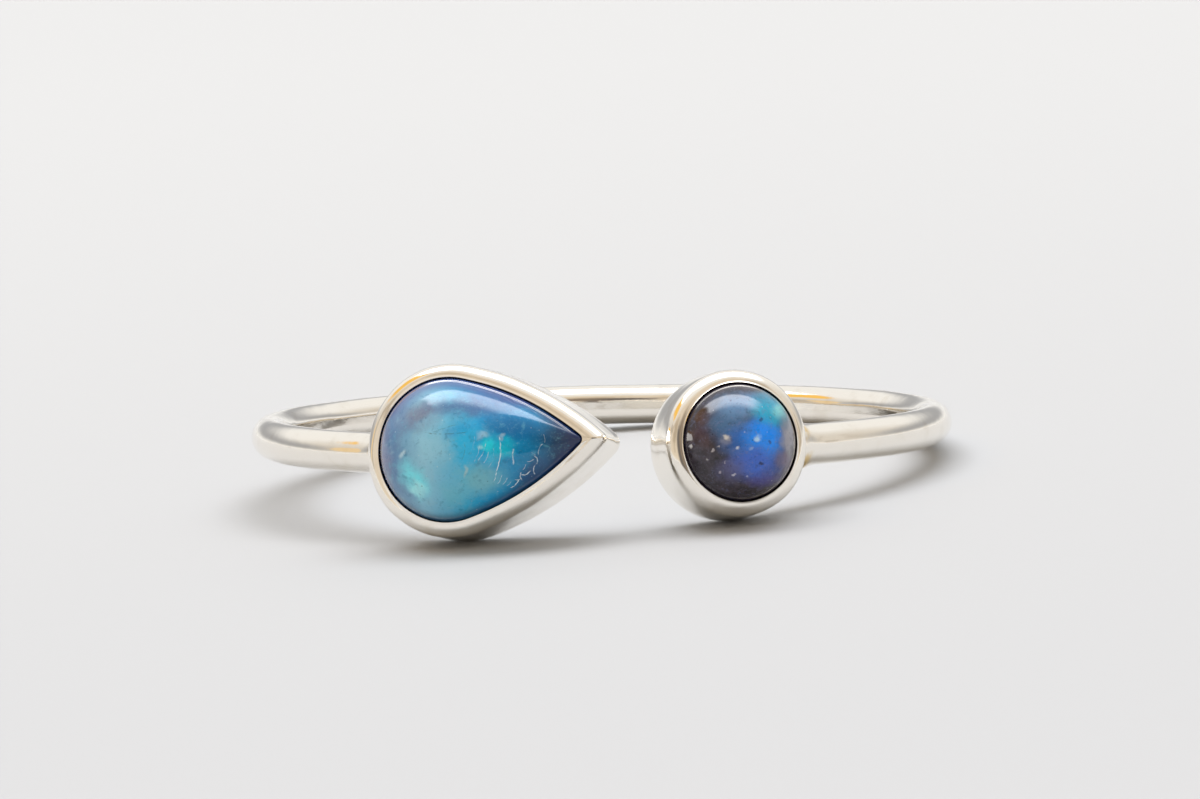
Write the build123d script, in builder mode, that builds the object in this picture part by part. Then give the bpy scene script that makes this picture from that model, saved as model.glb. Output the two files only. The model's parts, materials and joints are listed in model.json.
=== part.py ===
from build123d import *
from math import atan2, cos, degrees, radians, sin, sqrt
import os

os.makedirs("parts", exist_ok=True)

# An open ring of round silver wire. One end of the wire carries a pear cabochon in a bezel cup,
# the other a round one, and the pear's point looks across the opening at the round cup.
# The wire is drawn about the finger: Z runs along it and the opening faces -Y. Each cup and its
# stone are drawn on the cup's flat back, with Z out of the stone's face, and then seated on the
# ring. The last section lays the ring on its side, as it rests on a table.

# The wire, with the narrow flat that the mandrel leaves on its inside.
finger_radius = 8.75
wire_radius = 0.575
inside_flat = 0.5
wire_middle = finger_radius + sqrt(wire_radius**2 - (inside_flat / 2) ** 2)
wire_end = 5  # degrees past the middle of each cup's back, where the wire ends inside the cup

# Solder swells the wire where it meets a cup's wall, and dies away inside the wire. Degrees
# along the wire from the wall, and the radius there. The swelling stays clear of the finger.
solder_swell = ((0, 0.78), (2.2, 0.64), (5.5, 0.52))
solder_clear = 0.02

# Both cups.
cup_height = 2.05
cup_back_radius = 0.4
cup_lip_radius = 0.26
stone_gap = 0.025

# The pear cabochon, measured from under the top of its dome, and its cup.
pear_heel = 2.5  # to the round end
pear_reach = 3.5  # to the point
pear_radius = 2.0
pear_point = radians(43)  # half the angle at the point
pear_point_radius = 0.1
pear_seat = 0.5
pear_girdle = 1.43
pear_dome = 1.82
pear_dome_rises = (0, 20, 40, 60, 75, 84)  # degrees up the dome, where a pear section is drawn
pear_wall = 0.38
pear_wall_point_radius = 0.37

# The round cabochon and its cup.
round_radius = 1.65
round_seat = 0.95
round_girdle = 1.58
round_wall = 0.38
round_bulge = 0.05

# How each cup sits on the ring: degrees round it from the middle of the opening, how far the
# cup slides along its back from there, and the degrees that its face looks up and that the
# pear's point is raised.
back_distance = 8.7  # from the finger's axis to the flat back of each cup
cleared_radius = 8.58  # the cups' backs are filed to this where they lean in over the finger
pear_turn, pear_slide, pear_cant, pear_spin = -20, -0.4, 9, 4.5
round_turn, round_slide, round_cant, round_spin = 16, 0.5, 9, 0


def outward(turn):
    """The direction from the finger's axis, turn degrees from the middle of the opening."""
    return Vector(sin(radians(turn)), -cos(radians(turn)), 0)


def seat_of(turn, slide, cant, spin):
    """Where a cup's own frame lies on the ring."""
    along = outward(turn + 90)
    face = outward(turn) * cos(radians(cant)) + Vector(0, 0, 1) * sin(radians(cant))
    level = along * cos(radians(spin)) + face.cross(along) * sin(radians(spin))
    middle = outward(turn) * back_distance + along * slide
    return Plane(origin=middle, x_dir=level, z_dir=face).location


def wire_plane(turn):
    """Cuts the wire square, with X away from the finger's axis."""
    return Plane(origin=(0, 0, 0), x_dir=outward(turn), z_dir=outward(turn - 90))


def pear_outline(margin, point_radius):
    """The pear seen from the front, set out by margin: a round end and two long arcs."""
    length = pear_heel + pear_reach - pear_radius
    side_radius = (length**2 - pear_radius**2) / (2 * (length * sin(pear_point) - pear_radius))
    round_middle = Vector(pear_radius - pear_heel, 0)
    side_middle = Vector(pear_reach, 0) - Vector(sin(pear_point), cos(pear_point)) * side_radius
    lean = (round_middle - side_middle).normalized()
    shoulder = round_middle + lean * (pear_radius + margin)
    heel = round_middle - Vector(pear_radius + margin, 0)
    point = Vector(side_middle.X + sqrt((side_radius + margin) ** 2 - side_middle.Y**2), 0)
    halfway = (shoulder + point - side_middle * 2).normalized()
    flank = side_middle + halfway * (side_radius + margin)
    with BuildSketch() as outline:
        with BuildLine():
            ThreePointArc(shoulder, heel, (shoulder.X, -shoulder.Y))
            ThreePointArc(shoulder, flank, point)
            ThreePointArc((shoulder.X, -shoulder.Y), (flank.X, -flank.Y), point)
        make_face()
        fillet(outline.vertices().sort_by(Axis.X)[-1], point_radius)
    return outline.sketch


def pear_cabochon(margin):
    """A straight girdle on a flat base, and a dome of ever smaller and blunter pears."""
    with BuildPart() as cabochon:
        with BuildSketch(Plane.XY.offset(pear_seat - margin)):
            add(pear_outline(margin, pear_point_radius))
        extrude(amount=pear_girdle - pear_seat + margin)
        for rise in pear_dome_rises:
            level = pear_girdle + (pear_dome + margin) * sin(radians(rise))
            share = cos(radians(rise))
            with BuildSketch(Plane.XY.offset(level)):
                add(pear_outline(margin, pear_point_radius + 1 - share))
                scale(by=share)
        loft()
    return cabochon.part


def round_cabochon(margin):
    """A straight girdle on a flat base, and a dome that is half a ball."""
    radius = round_radius + margin
    with BuildPart() as cabochon:
        with BuildSketch(Plane.XZ):
            with BuildLine():
                Polyline(
                    (0, round_girdle + radius),
                    (0, round_seat - margin),
                    (radius, round_seat - margin),
                    (radius, round_girdle),
                )
                CenterArc((0, round_girdle), radius, 0, 90)
            make_face()
        revolve(axis=Axis.Z)
    return cabochon.part


def solder(wall_turn, away):
    """The swelling at a cup's wall. away is 1 where the wire leaves the wall to the right."""
    with BuildPart() as swelling:
        for distance, radius in solder_swell:
            with BuildSketch(wire_plane(wall_turn + away * distance)):
                with Locations((finger_radius + solder_clear + radius, 0)):
                    Circle(radius)
        loft()
    return swelling.part


# ---- cups: closed backs, rounded edges and a lip pressed over the stone
with BuildPart() as pear_cup:
    with BuildSketch():
        add(pear_outline(pear_wall, pear_wall_point_radius))
    extrude(amount=cup_height)
    fillet(faces().sort_by(Axis.Z)[0].edges(), cup_back_radius)
    fillet(faces().sort_by(Axis.Z)[-1].edges(), cup_lip_radius)

round_cup_radius = round_radius + round_wall
with BuildPart() as round_cup:
    with BuildSketch(Plane.XZ):
        with BuildLine():
            foot = Line((0, 0), (round_cup_radius - round_bulge, 0))
            ThreePointArc(
                foot @ 1,
                (round_cup_radius, cup_height / 2),
                (round_cup_radius - round_bulge, cup_height),
            )
            Polyline((round_cup_radius - round_bulge, cup_height), (0, cup_height), (0, 0))
        make_face()
    revolve(axis=Axis.Z)
    fillet(faces().sort_by(Axis.Z)[0].edges(), cup_back_radius)
    fillet(faces().sort_by(Axis.Z)[-1].edges(), cup_lip_radius)

# ---- wire: it runs on under both cups, filed flush with the finger hole
wire_start = round_turn + wire_end
wire_finish = 360 + pear_turn - wire_end

with BuildPart() as wire:
    with BuildSketch(wire_plane(wire_start)):
        with Locations((wire_middle, 0)):
            Circle(wire_radius)
        with Locations((finger_radius, 0)):
            Rectangle(
                2 * wire_radius,
                2 * wire_radius,
                align=(Align.MIN, Align.CENTER),
                mode=Mode.INTERSECT,
            )
    revolve(axis=Axis.Z, revolution_arc=wire_finish - wire_start)

with BuildPart() as finger_clearance:
    Cylinder(cleared_radius, 4 * cup_height)

# ---- silver: the wire, its solder and both cups are one solid, hollowed for the stones
pear_seating = seat_of(pear_turn, pear_slide, pear_cant, pear_spin)
round_seating = seat_of(round_turn, round_slide, round_cant, round_spin)
pear_wall_turn = pear_turn - degrees(atan2(pear_heel + pear_wall - pear_slide, wire_middle))
round_wall_turn = round_turn + degrees(atan2(round_cup_radius + round_slide, wire_middle))

with BuildPart() as silver:
    add(
        [
            wire.part,
            pear_seating * pear_cup.part,
            round_seating * round_cup.part,
            solder(pear_wall_turn, -1),
            solder(round_wall_turn, 1),
        ]
    )
    add(
        [
            pear_seating * pear_cabochon(stone_gap),
            round_seating * round_cabochon(stone_gap),
            finger_clearance.part,
        ],
        mode=Mode.SUBTRACT,
    )

upright_pieces = {
    "silver_frame": silver.part,
    "pear_stone": pear_seating * pear_cabochon(0),
    "round_stone": round_seating * round_cabochon(0),
}


# ---- rest: the ring lies on the rims of its two cups and on the back of its wire
def lowest(piece, pose):
    return (pose * piece).bounding_box().min.Z


pitch, roll = 0, 0
settling_steps = 6  # each step levels the pose a little better
for step in range(settling_steps):
    pose = Rot(pitch, roll, 0)
    pear_low = lowest(pear_seating * pear_cup.part, pose)
    round_low = lowest(round_seating * round_cup.part, pose)
    wire_low = lowest(wire.part, pose)
    pitch += degrees(atan2((pear_low + round_low) / 2 - wire_low, 2 * wire_middle))
    roll += degrees(atan2(round_low - pear_low, 2 * pear_reach))

around = Compound([pose * piece for piece in upright_pieces.values()]).bounding_box()
rest = Pos(-around.center().X, -around.center().Y, -around.min.Z) * pose

with BuildPart() as silver_frame:
    add(rest * upright_pieces["silver_frame"])
silver_frame.part.label = "silver_frame"
export_step(silver_frame.part, "parts/silver_frame.step")

with BuildPart() as pear_stone:
    add(rest * upright_pieces["pear_stone"])
pear_stone.part.label = "pear_stone"
export_step(pear_stone.part, "parts/pear_stone.step")

with BuildPart() as round_stone:
    add(rest * upright_pieces["round_stone"])
round_stone.part.label = "round_stone"
export_step(round_stone.part, "parts/round_stone.step")

finger = Plane(rest * Location(Plane.XY))
print("finger hole's middle", finger.origin, "axis", finger.z_dir)
print("pitch", pitch, "roll", roll, "lowest points", pear_low, round_low, wire_low)
for name, seating in (("pear", pear_seating), ("round", round_seating)):
    seat = Plane(rest * seating)
    print(name, "back", seat.origin, "along", seat.x_dir, "face", seat.z_dir)
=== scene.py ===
import bmesh
import bpy
import json
import math
from mathutils import Matrix, Vector, noise


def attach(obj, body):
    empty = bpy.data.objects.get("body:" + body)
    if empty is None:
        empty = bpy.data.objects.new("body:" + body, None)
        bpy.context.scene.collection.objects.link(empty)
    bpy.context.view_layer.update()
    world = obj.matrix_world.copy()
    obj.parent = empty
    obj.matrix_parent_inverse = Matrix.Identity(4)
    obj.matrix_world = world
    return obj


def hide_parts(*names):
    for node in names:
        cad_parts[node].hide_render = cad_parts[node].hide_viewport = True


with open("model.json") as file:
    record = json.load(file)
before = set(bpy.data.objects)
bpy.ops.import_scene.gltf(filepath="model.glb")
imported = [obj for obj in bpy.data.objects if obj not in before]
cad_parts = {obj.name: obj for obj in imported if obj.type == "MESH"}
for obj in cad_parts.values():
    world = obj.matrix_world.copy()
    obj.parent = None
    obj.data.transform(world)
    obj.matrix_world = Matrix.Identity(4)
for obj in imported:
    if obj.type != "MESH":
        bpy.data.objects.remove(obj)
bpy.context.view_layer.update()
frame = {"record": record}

milli = 0.001   # pieces are drawn in millimetres about the finger, then laid in the frame


def clamp(value):
    return max(0, min(1, value))


# the finger hole's mount says how the ring lies
hole = frame["record"]["mounts"][0]
holeAxis = Vector(hole["axis"]).normalized()
print("the finger hole is at", hole["pos_m"], "along", hole["axis"])
ringPlace = (
    Matrix.Translation(hole["pos_m"])
    @ Matrix.Rotation(-math.atan2(holeAxis.y, holeAxis.z), 4, "X")
    @ Matrix.Rotation(math.asin(holeAxis.x), 4, "Y")
    @ Matrix.Scale(milli, 4)
)


# shader maths

class Signal:
    # a socket that takes part in plain arithmetic, and adds the Math nodes it needs
    def __init__(self, tree, socket=None):
        self.tree = tree
        self.socket = socket

    def node(self, kind, settings=None, values=None, out=0):
        made = self.tree.nodes.new(kind)
        for name, value in (settings or {}).items():
            if name == "stops":
                fillRamp(made.color_ramp, value)
            else:
                setattr(made, name, value)
        for name, value in (values or {}).items():
            if isinstance(value, Signal):
                self.tree.links.new(value.socket, made.inputs[name])
            else:
                made.inputs[name].default_value = value
        return Signal(self.tree, made.outputs[out]) if len(made.outputs) else made

    def output(self, out):
        # another output of the same node
        return Signal(self.tree, self.socket.node.outputs[out])

    def maths(self, operation, *values):
        return self.node("ShaderNodeMath", {"operation": operation}, dict(enumerate(values)))

    def __add__(self, other):
        return self.maths("ADD", self, other)

    __radd__ = __add__

    def __sub__(self, other):
        return self.maths("SUBTRACT", self, other)

    def __rsub__(self, other):
        return self.maths("SUBTRACT", other, self)

    def __mul__(self, other):
        return self.maths("MULTIPLY", self, other)

    __rmul__ = __mul__

    def __truediv__(self, other):
        return self.maths("DIVIDE", self, other)

    def __rtruediv__(self, other):
        return self.maths("DIVIDE", other, self)

    def __abs__(self):
        return self.maths("ABSOLUTE", self)


def fillRamp(ramp, stops):
    while len(ramp.elements) < len(stops):
        ramp.elements.new(1)
    for element, (place, colour) in zip(ramp.elements, stops):
        element.position = place
        element.color = (*colour, 1)


def tone(red, green, blue):
    # a colour as a colour picker shows it, 0 to 255, made linear by the usual screen curve
    def linear(part):
        part /= 255
        return part / 12.92 if part <= 0.04045 else ((part + 0.055) / 1.055) ** 2.4
    return (linear(red), linear(green), linear(blue))


def smooth(signal, start, end):
    # 0 below start, 1 above end; turned round when start is the larger
    return signal.node(
        "ShaderNodeMapRange",
        {"interpolation_type": "SMOOTHSTEP"},
        {"Value": signal, "From Min": start, "From Max": end},
    )


def blend(colour, other, share):
    # colours are links or plain triples
    def link(value):
        return value if isinstance(value, Signal) else (*value, 1)
    anchor = next(v for v in (share, colour, other) if isinstance(v, Signal))
    return anchor.node(
        "ShaderNodeMix",
        {"data_type": "RGBA"},
        {0: share, 6: link(colour), 7: link(other)},
        out=2,
    )


def cloud(place, scale, detail=2, roughness=0.5, distortion=0):
    values = {
        "Vector": place,
        "Scale": scale,
        "Detail": detail,
        "Roughness": roughness,
        "Distortion": distortion,
    }
    return place.node("ShaderNodeTexNoise", {}, values)


def cloudy(place, grain, limits):
    # patches of cloud; grain is their scale, detail, roughness and distortion
    return smooth(cloud(place, *grain), *limits)


def attribute(sheet, name):
    return sheet.node("ShaderNodeAttribute", {"attribute_name": name}, out="Fac")


def newMaterial(name):
    material = bpy.data.materials.new(name)
    material.use_nodes = True
    material.node_tree.nodes.clear()
    print("painting", name)
    return material, Signal(material.node_tree)


def finishMaterial(sheet, values):
    # the one shader of a piece, on the output
    surface = sheet.node("ShaderNodeBsdfPrincipled", {}, values)
    sheet.node("ShaderNodeOutputMaterial", {}, {"Surface": surface})


def localPlace(sheet, place):
    # Object coordinates in millimetres, about a cup's own flat back where its place is given
    seen = sheet.node("ShaderNodeTexCoord", out="Object")
    return sheet.node(
        "ShaderNodeMapping",
        {"vector_type": "TEXTURE"},
        {
            "Vector": seen,
            "Location": place.translation,
            "Rotation": place.to_euler(),
            "Scale": (milli, milli, milli),
        },
    )


# the cups, the stones and their places; a cup is drawn on its flat back, with z out of its face

pearCup = {
    "turn": -20,        # degrees round the ring from the middle of the opening
    "slide": -0.4,      # along its back, to the right
    "cant": 9,          # degrees the face looks up
    "spin": 4.5,        # degrees the point is raised
    "back": 8.7,        # from the finger's axis to the flat back
    "height": 2.05,
    "wall": 0.38,
    "backRounding": 0.4,
    "lipRounding": 0.33,
    "pointRounding": 0.37,
    "lipPoint": 0.2,    # the point is crisper near the lip
    "crispFrom": 0.5,   # height where the point starts to sharpen
    "crispOver": 1.1,
    "leastPoint": 0.04,
    "floor": 0.47,      # of the hollow, a little under the stone
    "filedTo": 8.58,    # the back stays this far from the finger's axis
    "around": 288,
}
roundCup = {
    "turn": 16,
    "slide": 0.5,
    "cant": 9,
    "spin": 0,
    "back": 8.7,
    "height": 2.05,
    "wall": 0.38,
    "bulge": 0.05,
    "backRounding": 0.4,
    "lipRounding": 0.33,
    "floor": 0.92,
    "filedTo": 8.58,
    "around": 224,
}
pearGem = {
    "heel": 2.5,        # from under the top of the dome to the round end
    "reach": 3.5,       # and to the point
    "radius": 2.0,
    "point": math.radians(43),      # half the angle at the point
    "pointRounding": 0.1,
    "seat": 0.5,        # height of the flat back
    "girdle": 1.43,     # height where the dome starts
    "dome": 1.81,       # height of the dome alone
    "fullness": 0.86,   # under 1 the dome is flatter on top and steeper at its edge
    "blunting": 2.6,    # the ridge behind the point softens as it rises
    "bluntFrom": 0.34,
    "bluntest": 1.3,
    "lean": (-0.356, 0.096, 0),     # how the deep colour slants through the dome
    "around": 256,
    "rises": 52,
}
roundGem = {
    "radius": 1.65,
    "seat": 0.95,
    "girdle": 1.58,
    "dome": 1.635,
    "lean": (0.3, 0.06, 0),
    "around": 192,
    "rises": 48,
}


def outward(turn):
    angle = math.radians(turn)
    return Vector((math.sin(angle), -math.cos(angle), 0))


def seatOf(cup):
    cant = math.radians(cup["cant"])
    spin = math.radians(cup["spin"])
    along = outward(cup["turn"] + 90)
    face = outward(cup["turn"]) * math.cos(cant) + Vector((0, 0, 1)) * math.sin(cant)
    level = along * math.cos(spin) + face.cross(along) * math.sin(spin)
    seat = Matrix((level, face.cross(level), face)).transposed().to_4x4()
    seat.translation = outward(cup["turn"]) * cup["back"] + along * cup["slide"]
    return seat


pearSeat = seatOf(pearCup)
roundSeat = seatOf(roundCup)


# outlines, walked by a step from 0 at the point, right round the cup, to 1

pointShare, heelShare = 0.05, 0.62    # where the point's arc ends and the heel's begins


def pearPoint(step, margin, pointRounding):
    gem = pearGem
    length = gem["heel"] + gem["reach"] - gem["radius"]
    sideRadius = (length**2 - gem["radius"] ** 2) / (
        2 * (length * math.sin(gem["point"]) - gem["radius"])
    )
    heelMiddle = Vector((gem["radius"] - gem["heel"], 0))
    sideMiddle = Vector((
        gem["reach"] - sideRadius * math.sin(gem["point"]),
        -sideRadius * math.cos(gem["point"]),
    ))
    reach = sideRadius + margin - pointRounding
    pointMiddle = Vector((sideMiddle.x + math.sqrt(reach**2 - sideMiddle.y**2), 0))
    lean = heelMiddle - sideMiddle
    pointAngle = math.atan2(-sideMiddle.y, pointMiddle.x - sideMiddle.x)
    shoulderAngle = math.atan2(lean.y, lean.x)
    signed = step * 2 if step <= 0.5 else step * 2 - 2
    share = abs(signed)
    if share < pointShare:
        middle, radius = pointMiddle, pointRounding
        angle = pointAngle * share / pointShare
    elif share < heelShare:
        middle, radius = sideMiddle, sideRadius + margin
        run = (share - pointShare) / (heelShare - pointShare)
        angle = pointAngle + (shoulderAngle - pointAngle) * run
    else:
        middle, radius = heelMiddle, gem["radius"] + margin
        run = (share - heelShare) / (1 - heelShare)
        angle = shoulderAngle + (math.pi - shoulderAngle) * run
    side = 1 if signed >= 0 else -1
    normal = Vector((math.cos(angle), math.sin(angle)))
    place = middle + normal * radius
    return Vector((place.x, place.y * side, 0))


def roundPoint(step, margin):
    angle = step * math.tau
    return Vector((math.cos(angle), math.sin(angle), 0)) * (roundGem["radius"] + margin)


def pearShare(rise):
    # the dome's width and height at rise radians, each 1 at its most
    return math.cos(rise) ** pearGem["fullness"], math.sin(rise) ** pearGem["fullness"]


def pearRise(height):
    lifted = clamp((height - pearGem["girdle"]) / pearGem["dome"])
    return math.asin(lifted ** (1 / pearGem["fullness"]))


def roundRise(height):
    return math.asin(clamp((height - roundGem["girdle"]) / roundGem["dome"]))


leastShare = 0.2    # near a dome's top a gap is no longer made up for its small outline


def pearDome(step, rise, gap=0):
    # a point of the dome, rise radians up from the girdle, gap outside the stone
    gem = pearGem
    share, lift = pearShare(rise)
    rounding = gem["pointRounding"] + gap + gem["blunting"] * max(0, lift - gem["bluntFrom"])
    rounding = min(rounding, gem["bluntest"])
    place = pearPoint(step, gap / max(share, leastShare), rounding) * share
    return place + Vector((0, 0, gem["girdle"] + gem["dome"] * lift))


def roundDome(step, rise, gap=0):
    share = math.cos(rise)
    place = roundPoint(step, gap / max(share, leastShare)) * share
    return place + Vector((0, 0, roundGem["girdle"] + roundGem["dome"] * math.sin(rise)))


# meshes

def ringEdges(bm, verts):
    chosen = set(verts)
    return [e for e in bm.edges if e.verts[0] in chosen and e.verts[1] in chosen]


def shell(rows, around):
    # a closed shell: each row gives the place of every step round one ring
    bm = bmesh.new()
    made = bmesh.ops.create_circle(bm, cap_ends=True, cap_tris=True, segments=around, radius=1)
    rim = [v for v in made["verts"] if len(v.link_edges) == 3]
    hub = next(v for v in made["verts"] if len(v.link_edges) > 3)
    rim.sort(key=lambda v: math.atan2(v.co.y, v.co.x) % math.tau)
    steps = [i / around for i in range(around)]
    hub.co = sum((rows[0](s) for s in steps), Vector()) / around
    edges = ringEdges(bm, rim)
    for v, s in zip(rim, steps):
        v.co = rows[0](s)
    for row in rows[1:]:
        grown = bmesh.ops.extrude_edge_only(bm, edges=edges)["geom"]
        edges = [g for g in grown if isinstance(g, bmesh.types.BMEdge)]
        fresh = [g for g in grown if isinstance(g, bmesh.types.BMVert)]
        onto = {}
        for v in fresh:
            below = next(e.other_vert(v) for e in v.link_edges if e.other_vert(v) not in fresh)
            onto[below] = v
        rim = [onto[v] for v in rim]
        chosen = set(rim)
        edges = [e for e in edges if e.verts[0] in chosen and e.verts[1] in chosen]
        for v, s in zip(rim, steps):
            v.co = row(s)
    top = bmesh.ops.extrude_edge_only(bm, edges=edges)["geom"]
    last = [g for g in top if isinstance(g, bmesh.types.BMVert)]
    middle = sum((v.co for v in last), Vector()) / around
    bmesh.ops.pointmerge(bm, verts=last, merge_co=middle)
    bmesh.ops.recalc_face_normals(bm, faces=bm.faces)
    return bm


def finishPiece(name, bm, seat, material, slot, *nodes):
    bmesh.ops.transform(bm, matrix=ringPlace @ seat, verts=bm.verts)
    bmesh.ops.recalc_face_normals(bm, faces=bm.faces)
    for face in bm.faces:
        face.smooth = True
    mesh = bpy.data.meshes.new(name)
    bm.to_mesh(mesh)
    bm.free()
    piece = bpy.data.objects.new(name, mesh)
    bpy.context.collection.objects.link(piece)
    mesh.materials.append(material)
    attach(piece, "root")
    if nodes:
        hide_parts(*nodes)
    print("made", name, len(mesh.polygons), "faces")
    return piece


def unevenness(place, size, reach):
    # between 0 and -reach: a hand-made surface never stands proud
    return -reach * (0.5 + 0.5 * noise.noise(place / size))


def fileBack(bm, seat, filedTo):
    # nothing stands nearer to the finger's axis than filedTo
    inverse = seat.inverted()
    for v in bm.verts:
        place = seat @ v.co
        radial = math.hypot(place.x, place.y)
        if radial < filedTo:
            place.x *= filedTo / radial
            place.y *= filedTo / radial
            v.co = inverse @ place


def paintAttribute(bm, name, value):
    layer = bm.verts.layers.float.new(name)
    for v in bm.verts:
        v[layer] = value(v.co)


# silver

silverLook = {
    "colour": tone(248, 243, 234),
    "roughness": 0.07,
    # scale and detail of each unevenness, and its height in millimetres
    "waves": (0.9, 2),
    "waveHeight": 0.02,
    "dents": (7, 3),
    "dentHeight": 0.0025,
    "polish": (60, 2),
    "polishHeight": 0.0002,
    "polishRoughness": 0.05,
    "bump": 0.6,
    # painted shade: a darker tan copy of the silver's colour, laid over it in random cloudy
    # patches
    "painted_tan_shade": {
        "colour": tone(213, 199, 176),
        "grain": (1.6, 4),
        "limits": (0.5, 0.8),
        "share": 0.25,
    },
    "solder": {
        "colour": tone(228, 198, 138),
        "grain": (1.3, 3),
        "limits": (0.42, 0.62),
        "reach": (0.1, 0.7),
        "roughness": 0.12,
    },
    # painted shade: a dark colour in the crevice where the silver meets the stone
    "groove": {"colour": tone(38, 34, 32), "roughness": 0.4},
}


def silverMaterial():
    material, sheet = newMaterial("polished_silver")
    look = silverLook
    place = localPlace(sheet, Matrix())
    waves = cloud(place, *look["waves"])
    dents = cloud(place, *look["dents"])
    polish = cloud(place, *look["polish"])
    groove = attribute(sheet, "groove")
    solder = attribute(sheet, "solder")

    # painted shade: darker tan patches, laid at random by a cloud
    paint = look["painted_tan_shade"]
    painted_tan_shade = cloudy(place, paint["grain"], paint["limits"]) * paint["share"]
    colour = blend(look["colour"], paint["colour"], painted_tan_shade)
    paint = look["solder"]
    golden = smooth(solder, *paint["reach"]) * cloudy(place, paint["grain"], paint["limits"])
    colour = blend(colour, paint["colour"], golden)
    # painted shade in the crevice beside the stone
    colour = blend(colour, look["groove"]["colour"], groove)

    rough = look["roughness"] + polish * look["polishRoughness"]
    rough = rough + solder * look["solder"]["roughness"] + groove * look["groove"]["roughness"]
    height = waves * look["waveHeight"] + dents * look["dentHeight"]
    height = height + polish * look["polishHeight"]
    bump = sheet.node(
        "ShaderNodeBump", {}, {"Strength": look["bump"], "Distance": milli, "Height": height}
    )
    finishMaterial(sheet, {
        "Base Color": colour,
        "Metallic": 1.0,
        "Roughness": rough,
        "Normal": bump,
    })
    return material


silver = silverMaterial()


# cups: a closed back, a wall, a lip rolled over the stone and a hollow

def quarterTurn(count):
    return [math.pi / 2 * (i + 1) / count for i in range(count)]


def pearOuter(margin, height):
    cup = pearCup
    lipward = clamp((height - cup["crispFrom"]) / cup["crispOver"])
    point = cup["pointRounding"] + (cup["lipPoint"] - cup["pointRounding"]) * lipward
    rounding = max(point + margin - cup["wall"], cup["leastPoint"])
    return lambda s: pearPoint(s, margin, rounding) + Vector((0, 0, height))


def pearFlat(share, margin, height):
    outer = pearOuter(margin, 0)
    return lambda s: outer(s) * share + Vector((0, 0, height))


def pearInner(gap, height):
    rise = pearRise(height)
    return lambda s: Vector((*pearDome(s, rise, gap).xy, height))


def between(first, second, share):
    return lambda s: first(s).lerp(second(s), share)


bothCups = {
    # shares of the flat back, of the wall's height, of the lip's inner slope and of the floor
    "backRings": (0.25, 0.5, 0.72, 0.88, 0.96, 1),
    "wallRings": (0.15, 0.3, 0.45, 0.6, 0.75, 0.88, 0.96, 1),
    "slopeRings": (0.2, 0.45, 0.7, 0.88),
    "floorRings": (0.6, 0.25),
    "backSteps": 9,
    "lipSteps": 10,
    "lipDepth": 1.15,     # the lip's rounding is this much deeper than it is wide
    # how far the silver stands off the stone at each height, from the lip's rim down
    "lipGaps": (
        (0.07, 2.07), (0.055, 2.04), (0.04, 1.98), (0.026, 1.9), (0.022, 1.7), (0.022, 1.43)
    ),
    "hollowGap": 0.022,
    "floorInset": -0.02,
    "floorSkin": 0.02,    # hand work and the painted groove shade start this far above the floor
    "handSize": 1.1,      # how long and how deep the waves of the hand work are
    "handDepth": 0.02,
    "lipFrom": 1.9,       # the lip has its own, shorter waves above this height
    "lipHandSize": 0.8,
    "grooveGap": 0.045,   # silver nearer the stone than this is painted dark: painted shade in the crevice
    "grooveFade": 0.025,
    "solderReach": 0.5,   # the solder's colour is full to this distance, and gone at twice it
}


def cupRows(cup, outer, flat, inner):
    back, lip = cup["backRounding"], cup["lipRounding"]
    top, wall, floor = cup["height"], cup["wall"], cup["floor"]
    rows = [flat(share, wall - back, 0) for share in bothCups["backRings"]]
    for angle in quarterTurn(bothCups["backSteps"]):
        rows.append(outer(wall - back + back * math.sin(angle), back - back * math.cos(angle)))
    wallTop = top - lip * bothCups["lipDepth"]
    rows += [outer(wall, back + (wallTop - back) * share) for share in bothCups["wallRings"]]
    for angle in quarterTurn(bothCups["lipSteps"]):
        rows.append(outer(
            wall - lip + lip * math.cos(angle), wallTop + (top - wallTop) * math.sin(angle)
        ))
    crest = outer(wall - lip, top)
    rim = inner(*bothCups["lipGaps"][0])
    rows += [between(crest, rim, share) for share in bothCups["slopeRings"]]
    rows += [inner(gap, height) for gap, height in bothCups["lipGaps"]]
    rows.append(inner(bothCups["hollowGap"], floor))
    rows += [flat(share, bothCups["floorInset"], floor) for share in bothCups["floorRings"]]
    return rows


def handWork(bm, cup, seat):
    # slightly uneven walls and lip
    apart = Vector((7, 0, 0))     # so that the lip's waves aren't the wall's
    for v in bm.verts:
        if v.co.z <= cup["floor"] + bothCups["floorSkin"]:
            continue
        grow = 1 + unevenness(seat @ v.co, bothCups["handSize"], bothCups["handDepth"]) / 2
        v.co.x *= grow
        v.co.y *= grow
        if v.co.z > bothCups["lipFrom"]:
            v.co.z += unevenness(
                seat @ v.co + apart, bothCups["lipHandSize"], bothCups["handDepth"]
            )


def makeCup(name, cup, seat, rows, gapAt):
    bm = shell(rows, cup["around"])
    handWork(bm, cup, seat)
    fileBack(bm, seat, cup["filedTo"])

    def solder(co):
        return max(0, 2 - (seat @ co - cup["solderMiddle"]).length / bothCups["solderReach"])

    # how much painted shade the crevice beside the stone gets
    def groove(co):
        if co.z <= cup["floor"] + bothCups["floorSkin"]:
            return 0
        return clamp((bothCups["grooveGap"] - gapAt(co)) / bothCups["grooveFade"])

    paintAttribute(bm, "solder", solder)
    paintAttribute(bm, "groove", groove)
    return finishPiece(name, bm, seat, silver, "silver")


def roundOuter(margin, height):
    # a slight barrel between foot and lip
    cup = roundCup
    lean = cup["bulge"] * (2 * height / cup["height"] - 1) ** 2
    return lambda s: roundPoint(s, margin - lean) + Vector((0, 0, height))


def roundFlat(share, margin, height):
    return lambda s: roundPoint(s, margin - roundCup["bulge"]) * share + Vector((0, 0, height))


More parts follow.
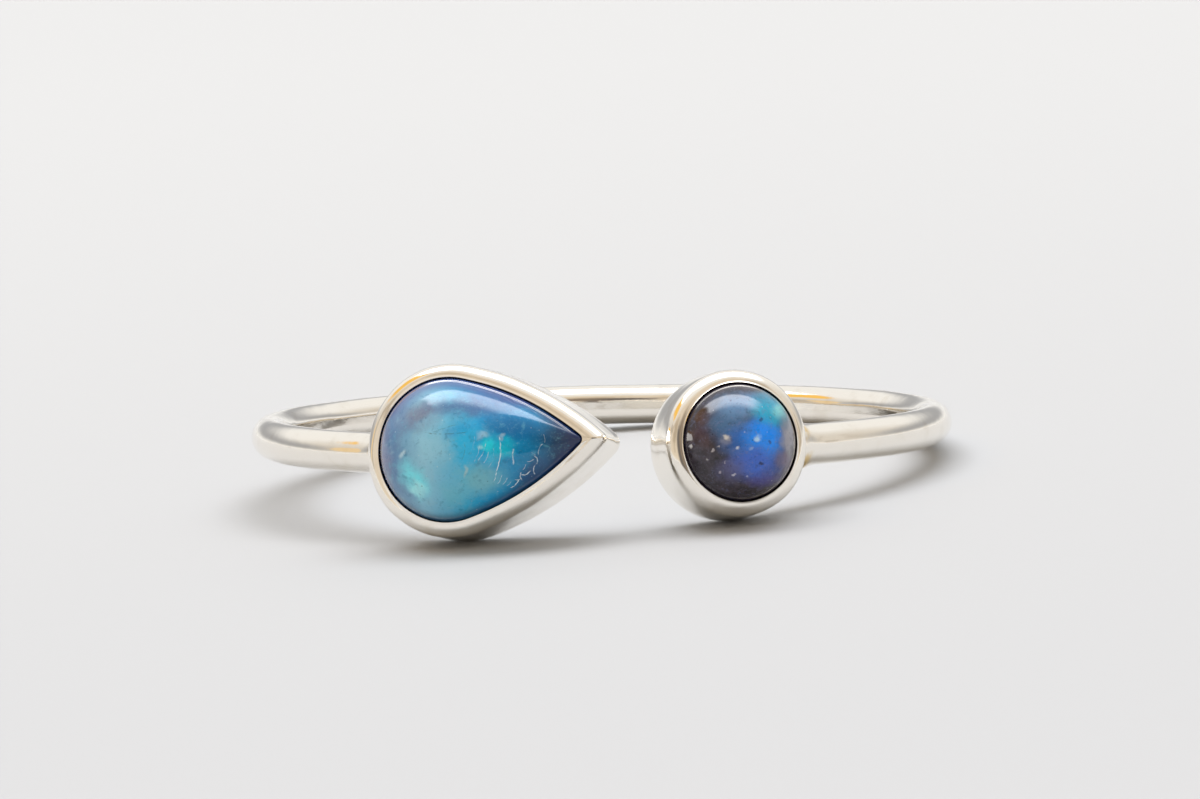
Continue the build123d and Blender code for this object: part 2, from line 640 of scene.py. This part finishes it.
def roundInner(gap, height):
    rise = roundRise(height)
    return lambda s: Vector((*roundDome(s, rise, gap).xy, height))


def gapToRound(co):
    return math.hypot(co.x, co.y) - roundGem["radius"] * math.cos(roundRise(co.z))


pearOutlines = {}     # outlines already worked out, by their rise
outlineSteps = 180


def gapToPear(co):
    # to the nearest place on the stone's outline at that height
    rise = round(pearRise(co.z), 2)
    if rise not in pearOutlines:
        pearOutlines[rise] = [pearDome(i / outlineSteps, rise).xy for i in range(outlineSteps)]
    return min((place - co.xy).length for place in pearOutlines[rise])


# band

band = {
    "fingerRadius": 8.75,
    "wireRadius": 0.575,
    "insideFlat": 0.5,
    "sections": 40,
    "steps": 300,
    "underCup": 5,        # degrees short of each cup's middle where the wire ends
    "belowFloor": 0.05,   # how far the wire stays under a cup's floor
    "handSize": 2.2,      # how long and how deep the waves of the hand work are
    "handDepth": 0.03,
    "swell": 0.2,         # how much solder thickens the wire at a wall
    "swellReach": 0.45,
    "solderReach": 0.6,   # how far the solder's colour runs along the wire
}
wireMiddle = band["fingerRadius"] + math.sqrt(
    band["wireRadius"] ** 2 - (band["insideFlat"] / 2) ** 2
)
pearWallTurn = pearCup["turn"] - math.degrees(math.atan2(
    pearGem["heel"] + pearCup["wall"] - pearCup["slide"], wireMiddle
))
roundWallTurn = roundCup["turn"] + math.degrees(math.atan2(
    roundGem["radius"] + roundCup["wall"] + roundCup["slide"], wireMiddle
))
pearCup["solderMiddle"] = outward(pearWallTurn) * wireMiddle
roundCup["solderMiddle"] = outward(roundWallTurn) * wireMiddle


def turnOf(place):
    # degrees round the ring from the middle of the opening
    return math.degrees(math.atan2(place.x, -place.y)) % 360


def toWall(turn):
    # millimetres along the wire to the nearest cup's wall
    away = min(abs(turn - roundWallTurn), abs(turn - 360 - pearWallTurn))
    return wireMiddle * math.radians(away)


def solderAt(co):
    return max(0, 1 - toWall(turnOf(co)) / band["solderReach"])


def wireMesh():
    start = roundCup["turn"] + band["underCup"]
    finish = 360 + pearCup["turn"] - band["underCup"]
    bm = bmesh.new()
    made = bmesh.ops.create_circle(bm, segments=band["sections"], radius=band["wireRadius"])
    # the circle stands square across the wire at its first end
    across = outward(start)
    upright = Matrix((across, Vector((0, 0, 1)), outward(start - 90))).transposed().to_4x4()
    upright.translation = across * wireMiddle
    bmesh.ops.transform(bm, matrix=upright, verts=made["verts"])
    bmesh.ops.spin(
        bm,
        geom=bm.edges[:],
        cent=(0, 0, 0),
        axis=(0, 0, 1),
        angle=math.radians(finish - start),
        steps=band["steps"],
        use_merge=False,
    )
    ends = [e for e in bm.edges if e.is_boundary]
    bmesh.ops.holes_fill(bm, edges=ends, sides=0)
    return bm


def swellAndWear(bm):
    # solder at the cups' walls, and slight waves along the wire
    radius = band["wireRadius"]
    for v in bm.verts:
        turn = turnOf(v.co)
        middle = outward(turn) * wireMiddle
        swell = band["swell"] * math.exp(-(toWall(turn) / band["swellReach"]) ** 2)
        hand = unevenness(middle, band["handSize"], band["handDepth"])
        v.co = middle + (v.co - middle) * ((radius + swell + hand) / radius)


def clearStone(bm, seat, cup, gem):
    # nothing of the wire stands inside a stone
    inverse = seat.inverted()
    for v in bm.verts:
        local = inverse @ v.co
        if math.hypot(local.x, local.y) < gem["radius"] and 0 < local.z < gem["girdle"]:
            local.z = min(local.z, cup["floor"] - band["belowFloor"])
            v.co = seat @ local


def makeBand():
    bm = wireMesh()
    swellAndWear(bm)
    fileBack(bm, Matrix(), band["fingerRadius"])
    clearStone(bm, pearSeat, pearCup, pearGem)
    clearStone(bm, roundSeat, roundCup, roundGem)
    paintAttribute(bm, "solder", solderAt)
    paintAttribute(bm, "groove", lambda co: 0)
    return finishPiece("silver_band", bm, Matrix(), silver, "silver", "silver_frame")


# stones

stoneBack = {
    "rings": (0.5, 0.97),     # shares of the girdle, on the flat back
    "edge": 0.03,             # height of the back's soft edge
}


def stoneMesh(dome, gem):
    def back(share, lift):
        def at(step):
            return Vector((*(dome(step, 0).xy * share), gem["seat"] + lift))
        return at

    rows = [back(share, 0) for share in stoneBack["rings"]]
    rows.append(back(1, stoneBack["edge"]))
    for i in range(gem["rises"]):
        rise = math.pi / 2 * i / gem["rises"]
        rows.append(lambda s, r=rise: dome(s, r))
    bm = shell(rows, gem["around"])
    paintAttribute(bm, "rise", lambda co: clamp((co.z - gem["girdle"]) / gem["dome"]))
    return bm


warpDetail = 3
noiseMiddle = (0.5, 0.5, 0.5)


def paintWarp(place, scale, reach):
    # the pattern's own place, pushed about a little, so that no patch has a drawn edge
    push = place.node(
        "ShaderNodeTexNoise", {}, {"Vector": place, "Scale": scale, "Detail": warpDetail}, out=1
    )
    centred = place.node(
        "ShaderNodeVectorMath", {"operation": "SUBTRACT"}, {0: push, 1: noiseMiddle}
    )
    return place.node(
        "ShaderNodeVectorMath",
        {"operation": "MULTIPLY_ADD"},
        {0: centred, 1: (reach, reach, 0), 2: place},
    )


def seenThrough(place, lean):
    # colour lies deep in a stone, so it is laid out along a slanting line through the dome
    depth = place.node("ShaderNodeSeparateXYZ", {}, {0: place}, out=2) - pearCup["height"]
    shift = place.node("ShaderNodeVectorMath", {"operation": "SCALE"}, {0: lean, "Scale": depth})
    return place.node("ShaderNodeVectorMath", {"operation": "ADD"}, {0: place, 1: shift})


throughout = 1000     # millimetres: a patch goes right through the stone


def turned(place, x, y, wide, high, turn):
    # a patch's own coordinates: 1 at its edge, whatever the depth
    return place.node(
        "ShaderNodeMapping",
        {"vector_type": "TEXTURE"},
        {
            "Vector": place,
            "Location": (x, y, 0),
            "Rotation": (0, 0, math.radians(turn)),
            "Scale": (wide, high, throughout),
        },
    )


def patch(place, x, y, wide, high, turn, core):
    spot = turned(place, x, y, wide, high, turn)
    far = spot.node("ShaderNodeVectorMath", {"operation": "LENGTH"}, {0: spot}, out=1)
    return smooth(far, 1, core)


lineCore, lineEnd = 0.3, 0.8    # shares of a line's width and length that are at full strength


def scratch(place, x, y, length, turn, bow, width):
    # a thin bowed line, length mm long
    spot = turned(place, x, y, length / 2, length / 2, turn)
    along = spot.node("ShaderNodeSeparateXYZ", {}, {0: spot})
    across = along.output(1)
    off = abs(across - bow * (along * along))
    edge = 2 * width / length
    return smooth(off, edge, edge * lineCore) * smooth(abs(along), 1, lineEnd)


def layPatches(colour, place, patches):
    for x, y, wide, high, turn, core, shade, share in patches:
        colour = blend(colour, shade, patch(place, x, y, wide, high, turn, core) * share)
    return colour


def scratchMarks(place, scratches):
    marks = None
    for *shape, share in scratches:
        mark = scratch(place, *shape) * share
        marks = mark if marks is None else marks.maths("MAXIMUM", marks, mark)
    return marks


scatter = {
    "least": 0.4,       # the smallest dot, as a share of the size
    "core": 0.5,        # the share of a dot's reach that is at full strength
    "softness": 0.02,
}


def dots(place, scale, chance, size):
    # round dots in a share of the cells of a loose grid
    distance = place.node(
        "ShaderNodeTexVoronoi", {}, {"Vector": place, "Scale": scale, "Randomness": 1.0}
    )
    pick = place.node("ShaderNodeSeparateColor", {}, {0: distance.output("Color")})
    chosen = smooth(pick, 1 - chance, 1 - chance + scatter["softness"])
    reach = pick.output(1) * size + size * scatter["least"]
    return chosen * smooth(distance / reach, 1, scatter["core"])


def layDots(colour, place, rows):
    for scale, chance, size, shade, share in rows:
        colour = blend(colour, shade, dots(place, scale, chance, size) * share)
    return colour


mottling = {
    "grain": (5, 0.65, 0.3),      # detail, roughness and distortion
    "pale": (0.54, 0.72),
    "dark": (0.46, 0.28),
}


def layMottles(colour, place, rows):
    # small clouds, paler and darker than the stone
    for scale, light, dark, share in rows:
        grain = cloud(place, scale, *mottling["grain"])
        colour = blend(colour, light, smooth(grain, *mottling["pale"]) * share)
        colour = blend(colour, dark, smooth(grain, *mottling["dark"]) * share)
    return colour


pearPaint = {
    # colour along the stone, from its heel to its point
    "length": (
        (0.0, tone(124, 124, 156)),
        (0.08, tone(90, 132, 176)),
        (0.22, tone(138, 198, 224)),
        (0.42, tone(56, 180, 222)),
        (0.5, tone(4, 164, 220)),
        (0.62, tone(0, 142, 196)),
        (0.76, tone(0, 118, 168)),
        (0.86, tone(2, 62, 100)),
        (0.94, tone(4, 24, 50)),
        (1.0, tone(4, 8, 22)),
    ),
    # x, y, half width, half height, turn, core, colour, strength
    "patches": (
        (-1.2, 1.0, 1.1, 0.55, 20, 0.1, tone(108, 106, 140), 0.75),
        (0.2, 1.1, 1.9, 0.5, -8, 0.1, tone(78, 92, 140), 0.8),
        (-0.9, 0.1, 0.8, 0.8, 0, 0.1, tone(150, 206, 228), 0.6),
        (-0.1, 0.55, 0.8, 0.35, 0, 0.1, tone(20, 148, 212), 0.6),
        (1.35, 0.45, 1.2, 0.5, -12, 0.2, tone(0, 104, 164), 0.85),
        (0.0, 0.0, 0.5, 0.75, 5, 0.2, tone(10, 184, 236), 0.75),
        (0.8, -0.1, 0.5, 0.6, 5, 0.2, tone(60, 206, 236), 0.6),
        (0.45, -0.9, 1.0, 0.6, 0, 0.1, tone(124, 192, 200), 0.75),
        (-0.4, -1.2, 0.7, 0.5, 0, 0.1, tone(104, 188, 206), 0.6),
        (0.62, 0.02, 0.34, 0.26, 0, 0.2, tone(40, 224, 240), 0.75),
        (1.15, -0.08, 0.38, 0.36, 0, 0.2, tone(6, 200, 226), 0.75),
        # painted light: a turquoise glow low on the left, as of light coming through the stone
        # from above, with a paler painted highlight in it
        (-1.45, -0.75, 0.85, 0.42, -62, 0.1, tone(120, 234, 250), 0.95),
        (-1.4, -1.05, 0.42, 0.26, -50, 0.1, tone(176, 246, 255), 0.75),
        (-1.75, 0.0, 0.22, 0.12, 50, 0.2, tone(190, 222, 234), 0.7),
        (0.0, -0.62, 0.1, 0.2, 10, 0.2, tone(186, 212, 212), 0.6),
        (1.9, -0.75, 0.9, 0.35, 38, 0.1, tone(40, 62, 112), 0.7),
        (2.3, 0.1, 0.5, 0.4, 0, 0.1, tone(14, 58, 96), 0.5),
        (0.55, 0.3, 0.3, 0.14, 0, 0.1, tone(210, 228, 236), 0.4),
        (0.45, 0.02, 0.12, 0.16, 0, 0.1, tone(204, 228, 236), 0.4),
        (1.08, 0.24, 0.2, 0.1, 0, 0.1, tone(204, 220, 230), 0.4),
    ),
    # x, y, length, turn, bow, width, strength
    "scratches": (
        (1.0, -0.26, 1.0, 82, 0.16, 0.02, 1.0),
        (1.02, -0.1, 0.5, 86, 0.1, 0.03, 0.5),
        (1.36, -0.34, 0.46, 86, -0.1, 0.024, 0.6),
        (0.52, -0.16, 0.55, 62, 0.1, 0.013, 0.55),
        (0.62, -0.3, 0.4, 60, 0.1, 0.011, 0.5),
        (0.36, -0.2, 0.5, 68, 0.1, 0.011, 0.4),
        (0.24, 0.05, 0.55, 74, 0.1, 0.01, 0.3),
        (0.74, -0.48, 0.3, 52, 0.1, 0.011, 0.4),
        (0.82, -0.2, 0.3, 80, 0.1, 0.01, 0.4),
        (0.84, -0.86, 0.3, 66, 0.1, 0.014, 0.7),
        (0.98, -0.92, 0.3, 58, 0.1, 0.013, 0.6),
        (1.12, -1.0, 0.26, 52, 0.1, 0.012, 0.55),
        (1.24, -1.06, 0.2, 46, 0.1, 0.012, 0.5),
        (1.42, -1.1, 0.36, 40, 0.3, 0.018, 0.9),
        (1.5, -0.98, 0.2, 10, 0.4, 0.014, 0.7),
        (1.56, -0.9, 0.26, 96, -0.3, 0.016, 0.8),
        (1.74, -0.84, 0.3, 20, 0.4, 0.018, 0.9),
        (1.7, -0.66, 0.2, 60, 0.4, 0.012, 0.6),
        (1.95, -0.7, 0.3, 74, -0.4, 0.016, 0.8),
        (2.04, -0.45, 0.3, 110, 0.4, 0.016, 0.7),
        (2.12, -0.18, 0.34, 64, -0.3, 0.014, 0.6),
        (1.86, -0.5, 0.22, 10, 0.3, 0.014, 0.6),
        (1.96, -0.3, 0.16, 150, 0.3, 0.011, 0.5),
        (2.3, 0.1, 0.24, 100, 0.3, 0.012, 0.4),
    ),
    # fine brown threads, given as the scratches are
    "threads": (
        (-0.6, 0.42, 1.5, -5, 0.12, 0.018, 0.5),
        (-0.5, 0.6, 0.9, 12, -0.1, 0.014, 0.35),
        (0.0, -0.1, 0.5, 80, 0.3, 0.014, 0.4),
    ),
    "scratchColour": tone(226, 242, 248),
    "scratchLeast": 0.15,     # how strong a scratch stays where it is worn away
    "threadColour": tone(52, 74, 84),
    "worn": {"grain": (7, 3), "limits": (0.36, 0.56)},    # where the lines show and where not
    # scale and reach of each push that keeps edges from looking drawn
    "patchWarp": (2.2, 0.5),
    "lineWarps": ((5, 0.08), (16, 0.035)),
    # milky veils inside the stone, fading towards the point
    "veil": {
        "colour": tone(150, 196, 212),
        "grain": (2.6, 5, 0.6, 0.6),
        "limits": (0.52, 0.75),
        "across": (1.6, -0.4),
        "share": 0.3,
    },
    # small clouds: scale, pale colour, dark colour, strength
    "mottles": (
        (4.5, tone(104, 186, 210), tone(0, 80, 128), 0.35),
        (13, tone(136, 196, 214), tone(6, 66, 110), 0.2),
    ),
    # painted shade: the stone darkens to its rim, and under its upper edge
    "rim": {"colour": tone(30, 44, 92), "rise": (0.6, 0.36), "share": 0.75},
    "brow": {
        "colour": tone(62, 74, 134),
        "upward": (0.75, 1.25),
        "rise": (0.86, 0.55),
        "share": 0.8,
    },
    # fine streaks that follow the upper edge
    "streaks": {
        "count": 13,          # from the girdle to the top
        "grain": (1.6, 3),
        "sway": 3,            # how far they wander, in streaks
        "broken": {"grain": (5, 2), "limits": (0.35, 0.6)},
        "upward": (0.5, 1.0),
        "upwardEnd": (1.9, 1.5),
        "rise": (0.64, 0.44),
        "dark": {"colour": tone(24, 24, 72), "line": (0.2, 0.05), "share": 0.5},
        "pale": {"colour": tone(176, 176, 214), "line": (0.36, 0.48), "share": 0.3},
    },
    # scattered dots: scale, chance, size, colour, strength
    "dots": (
        (5.5, 0.25, 0.12, tone(190, 218, 228), 0.4),
        (4.3, 0.16, 0.11, tone(8, 50, 84), 0.5),
    ),
}

roundPaint = {
    "ground": {
        "dark": tone(38, 32, 40),
        "pale": tone(66, 58, 70),
        "grain": (3.2, 4, 0.6),
        "limits": (0.35, 0.7),
    },
    "patches": (
        (-1.0, 0.3, 0.5, 0.7, 0, 0.1, tone(80, 46, 54), 0.5),
        (-0.25, 0.45, 1.0, 0.7, 0, 0.2, tone(62, 104, 146), 0.9),
        (0.1, 1.0, 1.2, 0.5, 0, 0.2, tone(92, 134, 176), 0.85),
        (0.0, 0.0, 0.8, 0.65, 0, 0.2, tone(62, 112, 190), 0.85),
        (0.9, 0.75, 0.8, 0.7, -40, 0.2, tone(0, 160, 196), 0.9),
        (1.2, 0.8, 0.36, 0.26, -55, 0.1, tone(130, 206, 206), 0.75),
        (0.62, 0.0, 0.8, 0.75, 0, 0.35, tone(0, 140, 252), 1.0),
        (0.35, -0.6, 1.0, 0.6, 0, 0.25, tone(56, 104, 208), 0.95),
        (-0.3, -0.75, 0.7, 0.45, 0, 0.1, tone(92, 94, 146), 0.6),
        (0.6, -1.05, 0.8, 0.3, 0, 0.1, tone(80, 76, 156), 0.6),
        # painted reflection: a pale grey crescent along the right edge
        (1.34, 0.0, 0.26, 1.0, 0, 0.1, tone(150, 150, 160), 0.9),
        (1.2, -0.6, 0.3, 0.5, 20, 0.1, tone(116, 104, 128), 0.75),
        (0.45, 0.08, 0.14, 0.14, 0, 0.1, tone(190, 228, 255), 0.85),
        (-0.42, 0.1, 0.24, 0.22, 0, 0.1, tone(160, 156, 156), 0.5),
    ),
    # small pale and dark specks: x, y, half width, half height, turn, core, colour, strength
    "specks": (
        (-0.42, 0.12, 0.12, 0.11, 0, 0.3, tone(222, 216, 208), 0.8),
        (-0.12, -0.16, 0.08, 0.06, 20, 0.3, tone(214, 222, 236), 0.8),
        (0.25, -0.2, 0.09, 0.08, 0, 0.2, tone(150, 184, 232), 0.6),
        (-1.42, -0.05, 0.05, 0.09, 0, 0.3, tone(226, 226, 230), 0.8),
        (-0.82, -0.2, 0.08, 0.05, 40, 0.3, tone(196, 190, 196), 0.7),
        (-0.66, -0.12, 0.05, 0.04, 0, 0.3, tone(196, 190, 196), 0.6),
        (-0.28, -0.9, 0.08, 0.05, 0, 0.3, tone(216, 216, 226), 0.7),
        (-0.65, -0.8, 0.06, 0.05, 30, 0.3, tone(190, 182, 194), 0.6),
        (-0.5, -0.55, 0.04, 0.04, 30, 0.3, tone(190, 182, 194), 0.5),
        (0.1, -0.95, 0.05, 0.04, 0, 0.3, tone(180, 190, 226), 0.5),
        (-1.0, -0.45, 0.04, 0.04, 0, 0.3, tone(200, 196, 200), 0.5),
        (-0.72, -0.42, 0.09, 0.08, 0, 0.4, tone(12, 10, 14), 0.8),
        (0.52, -0.62, 0.1, 0.07, 0, 0.4, tone(8, 14, 40), 0.8),
        (0.8, -0.06, 0.06, 0.06, 0, 0.3, tone(0, 40, 100), 0.7),
        (0.6, 0.56, 0.08, 0.06, 0, 0.3, tone(0, 44, 90), 0.7),
        (-0.22, 1.14, 0.05, 0.05, 0, 0.3, tone(40, 60, 100), 0.7),
    ),
    "patchWarp": (2.2, 0.4),
    "speckWarp": (9, 0.14),
    "mottles": (
        (6, tone(104, 112, 150), tone(14, 16, 34), 0.35),
        (16, tone(120, 124, 150), tone(12, 12, 26), 0.3),
    ),
    "dots": (
        (4.6, 0.4, 0.1, tone(186, 188, 200), 0.5),
        (5.2, 0.35, 0.12, tone(8, 8, 18), 0.7),
    ),
    # painted shade: the stone darkens to its rim, beside the silver
    "rim": {"colour": tone(26, 24, 36), "rise": (0.5, 0.3), "share": 0.5},
}


stonePolish = {
    "grain": (5, 4),
    "height": 0.02,       # of the polish's waves, in millimetres
    "bump": 0.25,
    "roughness": 0.4,     # under the polish
    "polishRoughness": 0.05,
    "ior": 1.53,
}


def finishStone(sheet, colour, place):
    look = stonePolish
    bump = sheet.node("ShaderNodeBump", {}, {
        "Strength": look["bump"],
        "Distance": milli * look["height"],
        "Height": cloud(place, *look["grain"]),
    })
    finishMaterial(sheet, {
        "Base Color": colour,
        "Roughness": look["roughness"],
        "Specular IOR Level": 0.0,
        "Coat Weight": 1.0,
        "Coat Roughness": look["polishRoughness"],
        "Coat IOR": look["ior"],
        "Normal": bump,
    })


def pearStreaks(colour, place, upward, rise):
    paint = pearPaint["streaks"]
    sway = cloud(place, *paint["grain"]) * paint["sway"] + rise * paint["count"]
    stripe = abs(sway - sway.maths("ROUND", sway))
    broken = cloudy(place, paint["broken"]["grain"], paint["broken"]["limits"])
    reach = smooth(upward, *paint["upward"]) * smooth(rise, *paint["rise"]) * broken
    reach = reach * smooth(upward, *paint["upwardEnd"])
    for line in (paint["dark"], paint["pale"]):
        drawn = smooth(stripe, *line["line"]) * reach * line["share"]
        colour = blend(colour, line["colour"], drawn)
    return colour


def pearMaterial():
    material, sheet = newMaterial("teal_blue_stone")
    paint = pearPaint
    place = localPlace(sheet, ringPlace @ pearSeat)
    deep = seenThrough(place, pearGem["lean"])
    soft = paintWarp(deep, *paint["patchWarp"])
    across = soft.node("ShaderNodeSeparateXYZ", {}, {0: soft})
    upward = across.output(1)
    rise = attribute(sheet, "rise")
    share = (across + pearGem["heel"]) / (pearGem["heel"] + pearGem["reach"])
    colour = share.node("ShaderNodeValToRGB", {"stops": paint["length"]}, {0: share})
    colour = layPatches(colour, soft, paint["patches"])

    veil = paint["veil"]
    milky = cloudy(place, veil["grain"], veil["limits"]) * smooth(across, *veil["across"])
    colour = blend(colour, veil["colour"], milky * veil["share"])
    colour = layMottles(colour, place, paint["mottles"])

    # painted shade towards the rim and under the upper edge
    rim = paint["rim"]
    colour = blend(colour, rim["colour"], smooth(rise, *rim["rise"]) * rim["share"])
    brow = paint["brow"]
    shaded = smooth(upward, *brow["upward"]) * smooth(rise, *brow["rise"])
    colour = blend(colour, brow["colour"], shaded * brow["share"])
    colour = pearStreaks(colour, place, upward, rise)

    worn = cloudy(place, paint["worn"]["grain"], paint["worn"]["limits"])
    drawn = deep
    for warp in paint["lineWarps"]:
        drawn = paintWarp(drawn, *warp)
    threads = scratchMarks(drawn, paint["threads"])
    colour = blend(colour, paint["threadColour"], threads * worn)
    marks = scratchMarks(drawn, paint["scratches"])
    kept = paint["scratchLeast"] + (1 - paint["scratchLeast"]) * worn
    colour = blend(colour, paint["scratchColour"], marks * kept)
    colour = layDots(colour, place, paint["dots"])
    finishStone(sheet, colour, place)
    return material


def roundMaterial():
    material, sheet = newMaterial("dark_blue_stone")
    paint = roundPaint
    place = localPlace(sheet, ringPlace @ roundSeat)
    deep = seenThrough(place, roundGem["lean"])
    ground = paint["ground"]
    mottle = cloudy(place, ground["grain"], ground["limits"])
    colour = blend(ground["dark"], ground["pale"], mottle)
    colour = layPatches(colour, paintWarp(deep, *paint["patchWarp"]), paint["patches"])
    colour = layMottles(colour, place, paint["mottles"])
    colour = layPatches(colour, paintWarp(deep, *paint["speckWarp"]), paint["specks"])
    colour = layDots(colour, place, paint["dots"])
    # painted shade towards the rim
    rim = paint["rim"]
    edge = smooth(attribute(sheet, "rise"), *rim["rise"])
    colour = blend(colour, rim["colour"], edge * rim["share"])
    finishStone(sheet, colour, place)
    return material


makeBand()
makeCup(
    "pear_cup", pearCup, pearSeat,
    cupRows(pearCup, pearOuter, pearFlat, pearInner),
    gapToPear,
)
makeCup(
    "round_cup", roundCup, roundSeat,
    cupRows(roundCup, roundOuter, roundFlat, roundInner),
    gapToRound,
)
finishPiece(
    "pear_gem", stoneMesh(pearDome, pearGem), pearSeat,
    pearMaterial(), "pear_gem", "pear_stone",
)
finishPiece(
    "round_gem", stoneMesh(roundDome, roundGem), roundSeat,
    roundMaterial(), "round_gem", "round_stone",
)


# floor, light and camera

floorLook = {
    "size": 1.6,
    # painted shade: the floor is a little darker at the front than at the back
    "near": tone(179, 181, 184),
    "far": tone(188, 190, 192),
    "fade": (-0.06, 0.12),      # metres towards the back
    "roughness": 0.8,
}


def makeFloor():
    bm = bmesh.new()
    bmesh.ops.create_grid(bm, x_segments=1, y_segments=1, size=floorLook["size"] / 2)
    mesh = bpy.data.meshes.new("floor")
    bm.to_mesh(mesh)
    bm.free()
    floor = bpy.data.objects.new("floor", mesh)
    bpy.context.collection.objects.link(floor)
    material, sheet = newMaterial("pale_floor")
    seen = sheet.node("ShaderNodeTexCoord", out="Object")
    depth = seen.node("ShaderNodeSeparateXYZ", {}, {0: seen}, out=1)
    # painted shade, darker towards the front
    fade = smooth(depth, *floorLook["fade"])
    finishMaterial(sheet, {
        "Base Color": blend(floorLook["near"], floorLook["far"], fade),
        "Roughness": floorLook["roughness"],
    })
    mesh.materials.append(material)
    print("made the floor")


# The room is the world's colour, and it is what the silver mirrors. Each part is laid over the
# ones before it, within limits of the direction looked in: an axis, where the part starts and
# where it is full. x is to the right, y to the back and z up.
room = {
    "walls": (0.95, 0.94, 0.92),
    "middle": -0.04,        # of the dark part, along x
    "shapes": (2.6, 2.0),   # scale and detail of the soft dark shapes
    "lowest": 0.05,         # z below which the soft box has no place
    "parts": (
        {
            "name": "sides",
            "colour": (0.74, 0.69, 0.62),
            "limits": (("side", 0.6, 0.95), ("z", 0.0, 0.12)),
            "share": 1,
        },
        {
            "name": "warm room behind the camera",
            "colour": (0.78, 0.67, 0.53),
            "limits": (("y", -0.1, -0.6), ("z", -0.02, 0.1), ("z", 0.97, 0.75)),
            "share": 1,
        },
        {
            "name": "grey low down behind the ring",
            "colour": (0.42, 0.42, 0.43),
            "limits": (("y", -0.05, 0.5), ("z", 0.4, 0.16), ("z", 0.0, 0.12)),
            "share": 1,
        },
        {
            "name": "dark middle",
            "colour": (0.1, 0.09, 0.09),
            "limits": (
                ("middle", 0.44, 0.18), ("y", -0.2, -0.5), ("z", 0.62, 0.4), ("z", -0.02, 0.05)
            ),
            "share": 0.9,
        },
        {
            "name": "soft dark shapes",
            "colour": (0.34, 0.26, 0.18),
            "limits": (
                ("shapes", 0.5, 0.62), ("y", 0.25, -0.2), ("z", 0.02, 0.12), ("z", 0.8, 0.5)
            ),
            "share": 0.6,
        },
        {
            "name": "soft box overhead",
            "colour": (6.2, 6.2, 6.3),
            "limits": (
                ("boxWide", 1.0, 0.4), ("boxWide", -1.15, -0.55),
                ("boxDeep", -0.22, 0.1), ("boxDeep", 0.54, 0.4),
                ("z", 0.3, 0.4),
            ),
            "share": 1,
        },
    ),
    # small cards that the silver picks up, in degrees from the front and up
    "cards": (
        {"azimuth": -84, "elevation": 45, "reach": 13, "colour": (1.0, 0.6, 0.14)},
        {"azimuth": -106, "elevation": 44, "reach": 14, "colour": (1.0, 0.6, 0.14)},
        {"azimuth": -96, "elevation": 13, "reach": 10, "colour": (0.86, 0.66, 0.4)},
    ),
    "cardCore": 0.6,        # the share of a card's reach that is at full strength
}


def makeRoom():
    world = bpy.data.worlds.new("studio")
    bpy.context.scene.world = world
    world.use_nodes = True
    world.node_tree.nodes.clear()
    sheet = Signal(world.node_tree)
    ray = sheet.node("ShaderNodeTexCoord", out="Generated")
    x = ray.node("ShaderNodeSeparateXYZ", {}, {0: ray})
    y, z = x.output(1), x.output(2)
    height = z.maths("MAXIMUM", z, room["lowest"])
    axes = {
        "y": y,
        "z": z,
        "side": abs(x),
        "middle": abs(x - room["middle"]),
        "shapes": cloud(ray, *room["shapes"]),
        "boxWide": x / height,
        "boxDeep": y / height,
    }
    colour = room["walls"]
    for part in room["parts"]:
        within = math.prod(smooth(axes[axis], start, full) for axis, start, full in part["limits"])
        colour = blend(colour, part["colour"], within * part["share"])
    for card in room["cards"]:
        tilt = math.radians(card["elevation"])
        way = outward(card["azimuth"]) * math.cos(tilt) + Vector((0, 0, math.sin(tilt)))
        near = ray.node(
            "ShaderNodeVectorMath", {"operation": "DOT_PRODUCT"}, {0: ray, 1: way}, out=1
        )
        edge = math.cos(math.radians(card["reach"]))
        core = math.cos(math.radians(card["reach"] * room["cardCore"]))
        colour = blend(colour, card["colour"], smooth(near, edge, core))
    backdrop = sheet.node("ShaderNodeBackground", {}, {"Color": colour, "Strength": 1.0})
    sheet.node("ShaderNodeOutputWorld", {}, {"Surface": backdrop})
    names = ", ".join(part["name"] for part in room["parts"])
    print("made the room:", names, "and", len(room["cards"]), "amber cards")


view = {
    "azimuth": -1.5,
    "elevation": 8.5,
    "roll": 4.6,            # degrees the camera leans with the ring
    "distance": 0.28,
    "lens": 300,
    "nearest": 0.01,
    "aim": (0.0, 0.0, 0.0024),
}


def makeCamera():
    camera = bpy.data.cameras.new("camera")
    camera.lens = view["lens"]
    camera.clip_start = view["nearest"]
    holder = bpy.data.objects.new("camera", camera)
    angle = math.radians(view["elevation"])
    away = outward(view["azimuth"]) * math.cos(angle) + Vector((0, 0, math.sin(angle)))
    holder.location = Vector(view["aim"]) + away * view["distance"]
    level = (-away).to_track_quat("-Z", "Y").to_matrix()
    lean = Matrix.Rotation(-math.radians(view["roll"]), 3, "Z")
    holder.rotation_euler = (level @ lean).to_euler()
    bpy.context.collection.objects.link(holder)
    bpy.context.scene.camera = holder
    print("set the camera at", [round(part, 4) for part in holder.location])


makeFloor()
makeRoom()
makeCamera()
bpy.context.scene.view_settings.view_transform = "Standard"
